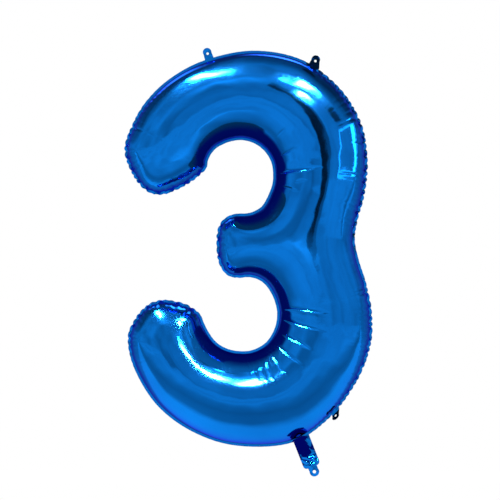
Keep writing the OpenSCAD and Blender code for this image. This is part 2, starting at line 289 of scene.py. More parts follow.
stations, strengths = np.array(OUTER_PUCKER).T
strength = np.full(len(weld), BAY_PUCKER)
on_outer = weld_station >= 0
strength[on_outer] = np.interp(weld_station[on_outer], stations, strengths)
strength[:ACROSS + 1] = END_PUCKER
strength[np.isin(weld, stroke_id[-1])] = END_PUCKER
strength[np.isin(weld, arm_id[:, -1])] = TIP_PUCKER
strength[np.isin(weld, arm_id[[0, -1], -ARM_ACROSS // 2:])] = TIP_PUCKER * SHOULDER


def smooth_round(values, reach):
    """A running mean round the weld line, reach points each way."""
    total = sum(np.roll(values, k) for k in range(-reach, reach + 1))
    return total / (2 * reach + 1)


strength = smooth_round(strength, max(2, RIBS // 4))

# Valleys between the pillows of the weld: where each is, how deep, and how far up the wall it runs
VALLEY_EVERY = (11, 20)
valley_s = [0.0]
while valley_s[-1] < weld_length - VALLEY_EVERY[1]:
    valley_s.append(valley_s[-1] + rng.uniform(*VALLEY_EVERY))
valley_s = np.array(valley_s + [weld_length])
valley_deep = rng.uniform(0.55, 1.25, len(valley_s))
valley_deep[-1] = valley_deep[0]
valley_reach = rng.uniform(0.6, 1.5, len(valley_s))
valley_reach[-1] = valley_reach[0]


PILLOW_SHAPE = 0.75  # below 1, a pillow is fuller and its valleys sharper than a sine


def pucker_at(s):
    """Depth from 0 on a pillow to about 1 in a valley, and how far in that valley runs."""
    k = np.clip(np.searchsorted(valley_s, s, side="right") - 1, 0, len(valley_s) - 2)
    f = (s - valley_s[k]) / (valley_s[k + 1] - valley_s[k])
    pillow = np.sin(np.pi * f) ** PILLOW_SHAPE
    deep = lerp(valley_deep[k], valley_deep[k + 1], f)
    reach = lerp(valley_reach[k], valley_reach[k + 1], f)
    return (1 - pillow) * deep, reach


pucker, pucker_reach = pucker_at(weld_s)
pucker = pucker * strength

SCALLOP = 3.8        # how far a valley draws the weld line in
PUCKER = 6.5         # depth of a valley in the wall beside the weld
PUCKER_RUN = 30.0    # how far up the wall a valley runs
PUCKER_FALL = 1.4    # how sharply it ends there
PUCKER_FULL = 14     # distance from the weld to a valley's full depth

pulled = plan.copy()
pulled[weld] -= (SCALLOP * pucker)[:, None] * weld_out

# Distance up the wall from the weld, for a wall that is round like the tube
wall = STROKE_W / 2 * np.arccos(np.clip(1 - weld_far / (STROKE_W / 2), -1, 1))
fade = np.exp(-(wall / (PUCKER_RUN * pucker_reach[weld_near])) ** PUCKER_FALL)
grow = lerp(SCALLOP / PUCKER, 1.0, np.clip(wall / PUCKER_FULL, 0, 1))
groove = PUCKER * pucker[weld_near] * fade * grow

# ---------------------------------------------------------------- creases that cross the bends
# [x0, z0, x1, z1, depth, half width] in the drawing, from the bay outward
CREASES = [
    [92, -112, 196, -116, 3.4, 2.4],
    [88, -138, 184, -162, 3.4, 2.4],
    [84, -172, 152, -210, 3.4, 2.4],
    [70, -198, 128, -248, 3.2, 2.2],
    [55, -226, 92, -266, 2.6, 2.0],
    [36, -234, 64, -288, 1.8, 1.8],
    [22, -238, 42, -286, 1.4, 1.6],
    [8, -240, 22, -282, 1.4, 1.6],
    [-4, -238, 4, -274, 1.0, 1.6],
    [74, 212, 178, 230, 4.0, 2.6],
    [77, 258, 118, 276, 2.2, 2.0],
    [110, 190, 134, 196, 2.0, 2.0],
    [66, 300, 88, 321, 1.4, 1.8],
    [80, 178, 120, 172, 1.6, 2.0],
]
CREASE_SWAY = 2.0    # how far a crease bends off its straight line
CREASE_TURNS = 4     # that bend's angle over the length, in radians
CREASE_START = 0.15  # share of the length by which it starts early, to be at full depth soon
CREASE_GROW = 0.35   # share over which it reaches full depth
CREASE_FADE = 0.6    # share over which it ends


def crease_depth(points):
    """Depth of the creases at plan points: sharp in the middle, fading towards both ends."""
    depth = np.zeros(len(points))
    for x0, z0, x1, z1, deep, half in CREASES:
        a, b = np.array([x0, z0], float), np.array([x1, z1], float)
        length = np.linalg.norm(b - a)
        way = (b - a) / length
        along = (points - a) @ way / length
        sway = CREASE_SWAY * np.sin(along * CREASE_TURNS + x0)
        across = (points - a) @ np.array([-way[1], way[0]]) + sway
        grow = np.clip((along + CREASE_START) / CREASE_GROW, 0, 1)
        fade = np.clip((1 - along) / CREASE_FADE, 0, 1)
        taper = grow * fade * fade * (3 - 2 * fade) * (along < 1)
        depth += deep * taper * np.exp(-np.abs(across) / half)
    return depth


groove += crease_depth(plan)

# The filling neck pulls a dimple into the wall above the tail
NECK = np.array([117, -415])
DIMPLE_DEPTH = 8
DIMPLE_REACH = 14
DIMPLE_EDGE = 6      # distance from the weld to its full depth
neck_far = np.linalg.norm(plan - NECK, axis=1)
groove += DIMPLE_DEPTH * np.exp(-(neck_far / DIMPLE_REACH) ** 2) * np.clip(wall / DIMPLE_EDGE, 0, 1)

# ---------------------------------------------------------------- slow unevenness of the film
arm_t = rib_t[first_arm:last_arm + 1]
station_of = np.concatenate([np.repeat(rib_t, ACROSS + 1), np.repeat(arm_t, ARM_ACROSS)])


SPREAD = (0.7, 1.5)  # a single wave's or fold's length, as shares of the length asked for
WAVE_PEAK = 1.5      # the sum of count waves seldom rises above this times the root of count


def waves(points, count, length, seed):
    """A smooth random field made of plane waves about length apart, from about -1 to 1."""
    r = np.random.default_rng(seed)
    total = np.zeros(len(points))
    for _ in range(count):
        turn = r.uniform(0, 2 * np.pi)
        k = 2 * np.pi / (length * r.uniform(*SPREAD))
        total += np.sin(k * (points @ [np.cos(turn), np.sin(turn)]) + r.uniform(0, 2 * np.pi))
    return total / math.sqrt(count) / WAVE_PEAK


# The film is uneven away from the weld. In flow, a wave is a long shallow flute that follows the stroke
FLOW_STRETCH = 9.0   # a station counts as this many millimetres in flow
CALM_WIDTH = 40      # distance from the weld to the full unevenness
flow = np.stack([weld_far, station_of * FLOW_STRETCH], -1)
calm = np.clip(wall / CALM_WIDTH, 0, 1)
# [height, where, number of waves, length, seed]
FIELDS = [[0.55, plan, 9, 120, 11], [0.16, plan, 11, 45, 12], [0.30, flow, 9, 24, 13]]
uneven = calm * sum(high * waves(*field) for high, *field in FIELDS)
OWN_UNEVEN = 0.35    # height of the waves that only one of the panels has
BACK_GROOVE = 0.9    # share of the puckers and creases on the back panel
BACK_UNEVEN = 0.7    # share of the common unevenness on the back panel


def sharpen(mesh, loops):
    """Keeps the shading hard across the edges along closed loops of vertices."""
    hard = set()
    for loop in loops:
        after = np.roll(loop, -1)
        hard |= {tuple(sorted(pair)) for pair in zip(loop.tolist(), after.tolist())}
    ends = np.empty(len(mesh.edges) * 2, np.int32)
    mesh.edges.foreach_get("vertices", ends)
    sharp = mesh.attributes.new("sharp_edge", "BOOLEAN", "EDGE")
    pairs = ends.reshape(-1, 2).tolist()
    sharp.data.foreach_set("value", [tuple(sorted(pair)) in hard for pair in pairs])


def add_mesh(name, points, quads):
    """A smooth-shaded piece from points in millimetres."""
    mesh = bpy.data.meshes.new(name)
    mesh.from_pydata((np.asarray(points) * MM).tolist(), [], np.asarray(quads).tolist())
    mesh.polygons.foreach_set("use_smooth", np.ones(len(mesh.polygons), bool))
    obj = bpy.data.objects.new(name, mesh)
    bpy.context.scene.collection.objects.link(obj)
    return obj


def smooth_normals(xyz, quads):
    """A unit normal at each point, from the faces round it."""
    normal = np.zeros_like(xyz)
    p = xyz[quads]
    face = np.cross(p[:, 2] - p[:, 0], p[:, 3] - p[:, 1])
    for k in range(4):
        np.add.at(normal, quads[:, k], face)
    return normal / np.maximum(np.linalg.norm(normal, axis=1), TINY)[:, None]


HALF_WELD = 0.15     # how far each panel's weld line lies from the middle plane
HALF_BAND = 0.2      # and the weld band outside it
RIPPLE = 1.3         # height of the weld band's waves
RIPPLE_LENGTH = 31
RIPPLE_DRIFT = 47    # the waves' spacing changes over about this length


def panel(name, side, seed):
    """One panel of foil as a mesh: the dome and the weld band. side is -1 in front, 1 behind."""
    xyz = np.stack([pulled[:, 0], -height, pulled[:, 1]], -1)
    quads = np.vstack([grid_quads(stroke_id), grid_quads(arm_full)])
    own = OWN_UNEVEN * calm * waves(plan, 8, 90, seed)
    if side < 0:
        move = -groove + uneven + own
    else:
        move = -BACK_GROOVE * groove + BACK_UNEVEN * uneven + own
    move[weld] = 0
    xyz = xyz + move[:, None] * smooth_normals(xyz, quads)
    xyz[weld, 1] = -HALF_WELD
    # the band goes on from the weld line in rows, rippled by the same amount on both panels
    turns = 2 * np.pi * weld_s / RIPPLE_LENGTH + 2 * np.sin(weld_s / RIPPLE_DRIFT)
    ripple = RIPPLE * strength * np.sin(turns)
    points = [xyz]
    band = []
    inner = weld
    for k in range(1, BAND_ROWS + 1):
        share = k / BAND_ROWS
        row = pulled[weld] + WELD_W * share * weld_out
        points.append(np.stack([row[:, 0], -side * ripple * share - HALF_BAND, row[:, 1]], -1))
        outer = len(xyz) + (k - 1) * len(weld) + np.arange(len(weld))
        band.append(np.stack([inner, outer, np.roll(outer, -1), np.roll(inner, -1)], -1))
        inner = outer
    points = np.vstack(points)
    quads = np.vstack([quads, *band])
    points[:, 0] -= MIDDLE[0]
    points[:, 2] -= MIDDLE[1]
    if side > 0:
        points[:, 1] *= -1
        quads = quads[:, ::-1]
    obj = add_mesh(name, points, quads)
    sharpen(obj.data, [weld])
    return obj


# ---------------------------------------------------------------- materials
class Graph:
    """Short calls for building one node tree."""

    def __init__(self, tree):
        self.nodes, self.links = tree.nodes, tree.links

    def add(self, kind, **values):
        node = self.nodes.new(kind)
        for name, value in values.items():
            setattr(node, name, value)
        return node

    def feed(self, node, name, value):
        """Links a socket to an input, or sets the input to a plain value."""
        if hasattr(value, "links"):
            self.links.new(value, node.inputs[name])
        else:
            node.inputs[name].default_value = value

    def maths(self, operation, first, second=0.0):
        node = self.add("ShaderNodeMath", operation=operation)
        self.feed(node, 0, first)
        self.feed(node, 1, second)
        return node.outputs["Value"]

    def ramp(self, value, stops):
        """A ramp through stops: a position, and then a grey level or a red, green and blue."""
        node = self.add("ShaderNodeValToRGB")
        self.feed(node, "Fac", value)
        elements = node.color_ramp.elements
        elements[0].position, elements[1].position = stops[0][0], stops[-1][0]
        for position, *_ in stops[1:-1]:
            elements.new(position)
        for element, (_, *levels) in zip(elements, stops):
            element.color = (*levels, 1) if len(levels) == 3 else (*levels * 3, 1)
        return node.outputs["Color"]

    def noise(self, vector, scale, detail=1.0):
        node = self.add("ShaderNodeTexNoise")
        self.feed(node, "Vector", vector)
        self.feed(node, "Scale", scale)
        self.feed(node, "Detail", detail)
        return node.outputs["Fac"]

    def place(self):
        """The place on the object."""
        return self.add("ShaderNodeTexCoord").outputs["Object"]

    def along(self, vector, axis):
        """One coordinate of a vector."""
        node = self.add("ShaderNodeSeparateXYZ")
        self.feed(node, "Vector", vector)
        return node.outputs[axis]

    def bump(self, shader, height, strength, distance):
        """Makes a height into the shader's bump."""
        node = self.add("ShaderNodeBump")
        self.feed(node, "Strength", strength)
        self.feed(node, "Distance", distance)
        self.feed(node, "Height", height)
        self.feed(shader, "Normal", node.outputs["Normal"])


def principled_material(name, **values):
    """A new material with its graph and its shader, whose inputs are named with _ for a space."""
    m = bpy.data.materials.new(name)
    m.use_nodes = True
    g = Graph(m.node_tree)
    shader = g.nodes["Principled BSDF"]
    for key, value in values.items():
        g.feed(shader, key.replace("_", " "), value)
    return m, g, shader


def foil_material():
    """Royal-blue metallised film under a clear lacquer, a little uneven in tone and polish."""
    m, g, shader = principled_material(
        "blue_foil", Metallic=1.0, IOR=1.5, Specular_Tint=(0.02, 0.22, 0.72, 1),
        Coat_Weight=0.07, Coat_Roughness=0.13, Coat_IOR=1.5)
    place = g.place()
    tone = g.noise(place, 9.0, 3.0)
    g.feed(shader, "Base Color", g.ramp(tone, [(0.3, 0.0009, 0.180, 0.70), (0.7, 0.0011, 0.205, 0.78)]))
    rough = g.add("ShaderNodeMapRange")
    g.feed(rough, "To Min", 0.07)
    g.feed(rough, "To Max", 0.12)
    g.feed(rough, "Value", tone)
    g.feed(shader, "Roughness", rough.outputs["Result"])
    g.bump(shader, g.noise(place, 70.0, 2.0), 0.05, 0.002)
    return m


def film_material():
    """Clear soft film of the valve, drawn as a pale film and a little wrinkled."""
    m, g, shader = principled_material("valve_film", Roughness=0.25, IOR=1.5)
    cloud = g.noise(g.place(), 60.0, 2.0)
    g.feed(shader, "Base Color", g.ramp(cloud, [(0.0, 0.68, 0.75, 0.83), (1.0, 0.82, 0.86, 0.90)]))
    g.bump(shader, cloud, 0.2, 0.001)
    return m


foil = foil_material()
film = film_material()


def dress(obj, material):
    """Gives a piece its material."""
    obj.data.materials.clear()
    obj.data.materials.append(material)


# ---------------------------------------------------------------- small film parts
FOLD_GAP = 0.7       # between the weld band and a tab's or the tail's foot, as in the CAD
FILM = 0.3           # half the thickness drawn for a tab's two plies


def unit(v):
    return v / np.linalg.norm(v)


def heading(angle):
    """The direction at an angle from straight down, in x and z."""
    return np.array([math.sin(math.radians(angle)), -math.cos(math.radians(angle))])


def left_of(way):
    """A direction turned by a quarter."""
    return np.array([-way[1], way[0]])


def footing(t):
    """The place just off the weld band at a station, the tangent there and the outward normal."""
    near = 0.05
    before, at, after = outer_at(np.array([t - near, t, t + near]))
    tangent = unit(after - before)
    normal = left_of(tangent)
    return at + (WELD_W + FOLD_GAP) * normal - MIDDLE, tangent, normal


def crumple(points, count, length, seed):
    """Random folds with flat facets between them, about length apart, mostly from -1 to 1."""
    r = np.random.default_rng(seed)
    total = np.zeros(points.shape[:-1])
    for _ in range(count):
        turn = r.uniform(0, np.pi)
        phase = points @ [np.cos(turn), np.sin(turn)] / (length * r.uniform(*SPREAD)) + r.uniform()
        total += 4 * np.abs(phase - np.round(phase)) - 1
    return total / math.sqrt(count)


def grid_faces(rows, columns, closed=False):
    """Quads of a rows by columns grid of points. A closed one joins its last column to its first."""
    ids = np.arange(rows * columns).reshape(rows, columns)
    if closed:
        ids = np.hstack([ids, ids[:, :1]])
    return np.stack([ids[:-1, :-1], ids[1:, :-1], ids[1:, 1:], ids[:-1, 1:]], -1).reshape(-1, 4)


def inside_polygon(points, corners):
    """Which points lie in a convex polygon, whichever way it turns."""
    sides = []
    for a, b in zip(corners, np.roll(corners, -1, 0)):
        d = b - a
        sides.append(d[0] * (points[..., 1] - a[1]) - d[1] * (points[..., 0] - a[0]))
    sides = np.array(sides)
    return (sides >= 0).all(0) | (sides <= 0).all(0)


def tab_outline_reach(hole, shapes, head, radius, angles):
    """How far a tab's outline lies from the hole's centre in each direction.

    The tab is the round head and the polygons in shapes together.
    """
    furthest, step = 45, 0.1
    steps = np.arange(0, furthest, step)
    ways = np.stack([np.cos(angles), np.sin(angles)], -1)
    p = hole + steps[None, :, None] * ways[:, None]
    inside = np.linalg.norm(p - head, axis=-1) <= radius
    for corners in shapes:
        inside |= inside_polygon(p, corners)
    return (inside * steps[None]).max(1)


TAB_ROOT = 2         # how far a tab reaches in behind its foot line
NECK_SHARE = 0.92    # width of a tab where it meets its round head, as a share of the head
FOLD_START = 1       # a fold begins this far before the foot line
FOLD_OVER = 3        # and takes this long
CURL_OVER = 8        # distance from the foot line to the full crumples


def tab(name, foot, along, normal, foot_w, way, hole, head, width, hole_d, seed, fold=0, curl=0.6):
    """A punched tab as a thin closed mesh, with its area in square metres.

    The foot line runs along, foot_w wide, and the tab's middle runs on to the head in direction way.
    fold turns what lies beyond the foot about the foot line, towards +Y, in degrees, and curl is the
    height of its crumples.
    """
    rows, columns = 9, 96
    neck = NECK_SHARE * width / 2 * left_of(way)
    a, b = foot - foot_w / 2 * along, foot + foot_w / 2 * along
    body = np.array([a, b, head + neck, head - neck])
    if not inside_polygon(((a + b + 2 * head) / 4)[None], body)[0]:
        body = np.array([a, b, head - neck, head + neck])
    root = np.array([a, b, b - TAB_ROOT * normal, a - TAB_ROOT * normal])
    angles = np.linspace(0, 2 * np.pi, columns, endpoint=False)
    reach = tab_outline_reach(hole, [body, root], head, width / 2, angles)
    share = (np.arange(rows) / (rows - 1)) ** 0.9
    radius = hole_d / 2 + share[:, None] * (reach - hole_d / 2)
    flat = hole + radius[..., None] * np.stack([np.cos(angles), np.sin(angles)], -1)
    beyond = (flat - foot) @ normal
    bend = math.radians(fold) * np.clip((beyond + FOLD_START) / FOLD_OVER, 0, 1)
    out = np.clip(beyond, 0, None)
    x_z = flat - (out * (1 - np.cos(bend)))[..., None] * normal
    y = out * np.sin(bend) + curl * np.clip(beyond / CURL_OVER, 0, 1) * crumple(flat, 5, 16, seed)
    faces = [np.stack([x_z[..., 0], y + half, x_z[..., 1]], -1).reshape(-1, 3) for half in (-FILM, FILM)]
    quads = grid_faces(rows, columns, closed=True)
    count = rows * columns
    ring = np.arange(columns)
    after = np.roll(ring, -1)
    last = count - columns
    rims = [
        np.stack([ring, after, after + count, ring + count], -1),
        np.stack([last + after, last + ring, last + ring + count, last + after + count], -1),
    ]
    obj = add_mesh(name, np.vstack(faces), np.vstack([quads[:, ::-1], quads + count, *rims]))
    sharpen(obj.data, [start + ring for start in (0, last, count, count + last)])
    area = 0.5 * ((reach ** 2) * (2 * np.pi / columns)).sum() - np.pi * (hole_d / 2) ** 2
    return obj, area * MM * MM


# ---------------------------------------------------------------- pieces
front = panel("front_foil", -1, 21)
back = panel("back_foil", 1, 22)

# The tail leaves the weld band at a station and leans from straight down
TAIL_AT, TAIL_LEAN = 19.74, 21.5
tail_way = heading(TAIL_LEAN)
tail_side = left_of(tail_way)
tail_foot, tail_along, tail_normal = footing(TAIL_AT)
tail_slant = (tail_along @ tail_way) / (tail_along @ tail_side)

# Valve films: two soft strips inside the body that lie together, from the weld line inwards
VALVE_W, VALVE_L, VALVE_CLEARANCE = 28, 90, 3
VALVE_APART = 0.35   # from the middle plane to each film
VALVE_WAVE = 0.10    # height of the waves that both films share
VALVE_WRINKLE = 0.06  # height of each film's own
valve_foot = tail_foot - (WELD_W + FOLD_GAP + VALVE_CLEARANCE) * tail_normal


def valve_film(name, side, seed):
    """One film of the valve. side is -1 in front, 1 behind."""
    rows, columns = 46, 15
    v = np.linspace(0, 1, rows)[:, None]
    u = np.linspace(-1, 1, columns)[None, :]
    run = lerp(u * VALVE_W / 2 * tail_slant, -VALVE_L, v)
    flat = valve_foot + (u * VALVE_W / 2)[..., None] * tail_side + run[..., None] * tail_way
    wave = VALVE_WAVE * crumple(flat, 5, 30, 31)
    y = side * (VALVE_APART + VALVE_WRINKLE * crumple(flat, 4, 20, seed)) + wave
    points = np.stack([flat[..., 0], y, flat[..., 1]], -1).reshape(-1, 3)
    return add_mesh(name, points, grid_faces(rows, columns)[:, ::side])


for side, word in ((-1, "front"), (1, "back")):
    piece = valve_film("valve_" + word, side, 33 + side)
    dress(piece, film)
    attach(piece, "valve_" + word)
    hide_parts("valve_" + word + "_film")

for piece, node in ((front, "front_foil_panel"), (back, "back_foil_panel")):
    dress(piece, foil)
    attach(piece, "balloon")
    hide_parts(node)

# Tail: two plies with creases. They lie together at the side welds and part towards the mouth
TAIL_W, TAIL_L, TAIL_CORNER, SIDE_WELD, MOUTH_RISE = 41, 72, 9, 3.5, 8
TAIL_ROOT = 7        # how far the plies reach in over the weld bands
NECK_FOLD = 0.7      # height of the long folds both plies share in the upper half
MOUTH_FOLD = 2.1     # and of the crumples in the lower half
OWN_NECK_FOLD = 0.5  # the same for the front ply's own
OWN_MOUTH_FOLD = 1.1
CRUMPLED_FROM, CRUMPLED_OVER = 34, 16   # where the lower half begins, and over what length
CALM_END = 8         # length beside the foot and the mouth over which folds and crumples grow
MOUTH_FROM = 0.15    # share of the length at which the plies begin to part
PLY_APART = 0.1      # from the middle plane to each ply at the side welds
PLY_SLACK = 0.25     # and further between them
ROOT_APART = 1.5     # and further where the root lies over the weld bands


def tail_ply(name, side):
    """One ply of the tail. side is -1 in front, 1 behind."""
    rows, columns = 76, 42
    outward = TAIL_L * np.sin(np.linspace(0, np.pi / 2, rows - 2)) ** 0.8
    run = np.concatenate([[-TAIL_ROOT, -TAIL_ROOT / 2], outward])
    into_corner = np.clip(run - (TAIL_L - TAIL_CORNER), 0, TAIL_CORNER)
    cut = TAIL_CORNER - np.sqrt(TAIL_CORNER ** 2 - into_corner ** 2)
    u = np.linspace(-1, 1, columns)
    across = u[None] * (TAIL_W / 2 - cut)[:, None]
    ahead = np.clip(run / TAIL_L, 0, 1)[:, None]
    along = lerp(across * tail_slant, 0, ahead) + run[:, None]
    flat = tail_foot + across[..., None] * tail_side + along[..., None] * tail_way
    local = np.stack([across, along], -1)
    open_w = TAIL_W - 2 * SIDE_WELD
    from_weld = (u + 1) / 2 * TAIL_W - SIDE_WELD
    between = (from_weld > 0) & (from_weld < open_w)
    arch = np.where(between, np.sin(np.pi * from_weld / open_w), 0)[None]
    opening = 1 - np.cos(np.pi / 2 * np.clip((ahead - MOUTH_FROM) / (1 - MOUTH_FROM), 0, 1))
    crumpled = np.clip((along - CRUMPLED_FROM) / CRUMPLED_OVER, 0, 1)
    lower = crumpled * np.clip((TAIL_L - 3 - along) / CALM_END, 0, 1)
    upper = np.clip(along / CALM_END, 0, 1) * (1 - crumpled)
    y = NECK_FOLD * upper * crumple(local * [1, 0.35], 5, 15, 41)
    y = y + MOUTH_FOLD * lower * crumple(local, 6, 13, 42)
    y = y + side * (PLY_APART + PLY_SLACK * arch)
    if side < 0:
        own = OWN_NECK_FOLD * upper * crumple(local * [1, 0.4], 4, 9, 43)
        own = own + OWN_MOUTH_FOLD * lower * crumple(local, 6, 8, 44)
        y = y - MOUTH_RISE * arch * opening - np.abs(arch * own)
    y = y + side * ROOT_APART * np.clip((2 - along) / 4, 0, 1)
    points = np.stack([flat[..., 0], y, flat[..., 1]], -1).reshape(-1, 3)
    return add_mesh(name, points, grid_faces(rows, columns)[:, ::side])


tail_front, tail_back = tail_ply("tail_front", -1), tail_ply("tail_back", 1)
for piece, node in ((tail_front, "tail_front_film"), (tail_back, "tail_back_film")):
    dress(piece, foil)
    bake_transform(piece)
    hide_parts(node)

END_TAB_W, END_TAB_L, END_TAB_REACH, END_HOLE = 23.5, 28, 11.5, 8
end_foot = tail_foot + (TAIL_L + FOLD_GAP) * tail_way
end_hole = end_foot + END_TAB_REACH * tail_way
piece, area = tab("tail_end", end_foot, tail_side, tail_way, END_TAB_W - 1, tail_way, end_hole, end_hole,
                  END_TAB_W, END_HOLE, 51, curl=1.3)
dress(piece, foil)
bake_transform(piece)
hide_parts("tail_end_tab")

# Hanging tabs: [name, station, lean from straight down, fold towards +Y, foot width, body]. The hole
# lies TAB_REACH from the foot line and the tip TAB_TIP further on.
TAB_W, TAB_REACH, TAB_TIP, TAB_HOLE = 21, 12, 14, 6
HANGING_TABS = [
    ["upper_left", 5.09, 198, 0, 22, "top_left_tab"],
    ["upper_right", 7.33, 167, 0, 28, "top_right_tab"],
    ["lower_right", 18.78, 15, 52, 26, "low_right_tab"],
]
for k, (name, station, lean, fold, foot_w, body) in enumerate(HANGING_TABS):
    foot, along, normal = footing(station)
    way = heading(lean)
    hole = foot + TAB_REACH * way
    head = hole + (TAB_TIP - TAB_W / 2) * way
    piece, area = tab(name + "_hanging_tab", foot, along, normal, foot_w, way, hole, head,
                      TAB_W, TAB_HOLE, 61 + k, fold=fold)
    dress(piece, foil)
    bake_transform(piece)
    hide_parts(name + "_tab")

# ---------------------------------------------------------------- stage and light
def emission_material(name):
    """A new material that only gives off light, with its graph and its emission node."""
    m = bpy.data.materials.new(name)
    m.use_nodes = True
    g = Graph(m.node_tree)
    g.nodes.clear()
    out = g.add("ShaderNodeOutputMaterial")
    lit = g.add("ShaderNodeEmission")
    g.feed(out, "Surface", lit.outputs["Emission"])
    return m, g, lit


def stage_mesh(name, points, faces, material):
    """Part of the stage, from points in metres."""
    mesh = bpy.data.meshes.new(name)
    mesh.from_pydata(points, [], faces)
    mesh.materials.append(material)
    obj = bpy.data.objects.new(name, mesh)
    bpy.context.scene.collection.objects.link(obj)
    return obj


# The floor is pure white to the eye. In the foil it is bright close under the balloon and
# greyer further off. Stops are [y in metres, level].
FLOOR_LEVELS = [
    [-2.0, 0.80], [-1.0, 0.85], [-0.6, 0.60], [-0.35, 0.42], [-0.19, 0.50], [-0.11, 1.05],
    [0.11, 1.05], [0.19, 0.6], [1.0, 0.55], [2.0, 0.5],
]
BRIGHTEST = 1.5      # a ramp's colours stay below 1, so its levels are stored as shares of this
white_floor, g, lit = emission_material("white_floor")
spot = g.place()
depth = g.maths("ADD", g.maths("MULTIPLY", g.along(spot, "Y"), 0.25), 0.5)
patches = g.ramp(g.noise(spot, 1.3), [(0.3, 0.75), (0.7, 1.0)])
level = g.ramp(depth, [(0.5 + y / 4, value / BRIGHTEST) for y, value in FLOOR_LEVELS])
level = g.maths("MULTIPLY", g.maths("MULTIPLY", level, patches), BRIGHTEST * 1.1)
eye = g.add("ShaderNodeLightPath").outputs["Is Camera Ray"]
g.feed(lit, "Strength", g.maths("MAXIMUM", level, eye))
FLOOR = 30           # half the floor's side
floor_z = cad_lo[2] - MM
floor_corners = [(x * FLOOR, y * FLOOR, floor_z) for x, y in ((-1, -1), (1, -1), (1, 1), (-1, 1))]
stage_mesh("floor", floor_corners, [(0, 1, 2, 3)], white_floor)


def toward(azimuth, elevation):
    """Direction from the balloon; azimuth 0 is towards the camera and 90 to its right."""
    a, e = math.radians(azimuth), math.radians(elevation)
    return np.array([math.sin(a) * math.cos(e), -math.cos(a) * math.cos(e), math.sin(e)])


def place(obj, azimuth, elevation, distance, about, axis="Z"):
    """Puts obj in a direction from about, with its axis pointing back at about."""
    way = toward(azimuth, elevation)
    obj.location = tuple(np.array(about) + distance * way)
    obj.rotation_euler = Vector(tuple(-way)).to_track_quat(axis, "Y").to_euler()
    obj.visible_camera = False


def aimed_card(name, azimuth, elevation, wide, high, distance, about, shade):
    """A see-through card that faces about, wide by high degrees, and shows only in reflections.

    shade sets up its look: it gets the graph, the emission node, the see-through node and the
    amount of card at each place, which is 1 in the middle and falls off as a bell curve.
    """
    material, g, lit = emission_material(name)
    spot = g.place()
    squares = [g.maths("POWER", g.maths("ABSOLUTE", g.along(spot, axis)), 2.0) for axis in "XY"]
    bell = g.maths("EXPONENT", g.maths("MULTIPLY", g.maths("ADD", squares[0], squares[1]), -4.0))
    facing = g.add("ShaderNodeNewGeometry").outputs["Backfacing"]
    amount = g.maths("MULTIPLY", bell, g.maths("SUBTRACT", 1.0, facing))
    clear = g.add("ShaderNodeBsdfTransparent")
    shade(g, lit, clear, amount)
    both = g.add("ShaderNodeAddShader")
    g.feed(both, 0, clear.outputs["BSDF"])
    g.feed(both, 1, lit.outputs["Emission"])
    g.feed(g.nodes["Material Output"], "Surface", both.outputs["Shader"])
    corners = [(-1, -1, 0), (1, -1, 0), (1, 1, 0), (-1, 1, 0)]
    obj = stage_mesh(name, corners, [(0, 1, 2, 3)], material)
    place(obj, azimuth, elevation, distance, about)
    obj.scale = [2 * distance * math.tan(math.radians(angle / 2)) for angle in (wide, high)] + [1]
    return obj


GLOW_EDGE = 0.02     # share of its level at which a glow ends


def glow(name, azimuth, elevation, wide, high, level, distance=4.0, about=(0, 0, 0)):
    """A soft light whose level falls off as a bell curve, wide by high degrees at 1/e of it."""
    def shade(g, lit, clear, amount):
        share = g.maths("MAXIMUM", g.maths("SUBTRACT", amount, GLOW_EDGE), 0.0)
        g.feed(lit, "Strength", g.maths("MULTIPLY", share, level))
    obj = aimed_card(name, azimuth, elevation, wide, high, distance, about, shade)
    obj.visible_shadow = False
    return obj


def turned(radius, count):
    """count places round a circle."""
    turns = [2 * math.pi * k / count for k in range(count)]
    return [(radius * math.cos(t), radius * math.sin(t)) for t in turns]


def flag(name, azimuth, elevation, radius, level, distance, about):
    """A small round card that hides a light from one place, and reflects there as a plain level."""
    material, g, lit = emission_material(name)
    g.feed(lit, "Strength", level)
    points = [(x, y, 0) for x, y in turned(radius, 24)]
    obj = stage_mesh(name, points, [tuple(range(len(points)))], material)
    place(obj, azimuth, elevation, distance, about)
    return obj


def shadow(name, azimuth, elevation, wide, high, share, distance=3.4, about=(0, 0, 0)):
    """A soft dark patch that takes up to a share of the light behind it."""
    def shade(g, lit, clear, amount):
        g.feed(lit, "Strength", 0.0)
        through = g.maths("POWER", g.maths("SUBTRACT", 1.0, amount), 3.0)
        left = g.maths("ADD", g.maths("MULTIPLY", through, share), 1.0 - share)
        grey = g.add("ShaderNodeCombineColor")
        for channel in ("Red", "Green", "Blue"):
            g.feed(grey, channel, left)
        g.feed(clear, "Color", grey.outputs["Color"])
    return aimed_card(name, azimuth, elevation, wide, high, distance, about, shade)


def window(name, corners, border, level):
    """The lit frame of a window. corners go round it, in metres, and border is a share of its size."""
    material, g, lit = emission_material(name)
    g.feed(lit, "Strength", level)
    outer = np.array(corners)
    inner = outer + border * (outer.mean(0) - outer)
    points = [tuple(p) for p in np.vstack([outer, inner])]
    obj = stage_mesh(name, points, [(0, 1, 5, 4), (1, 2, 6, 5), (2, 3, 7, 6), (3, 0, 4, 7)], material)
    obj.visible_camera = False
    obj.visible_shadow = False
    return obj


TUBE_END = 0.086     # half the length of a bay's dark tube
TUBE_FADE = 0.055    # length over which it fades out


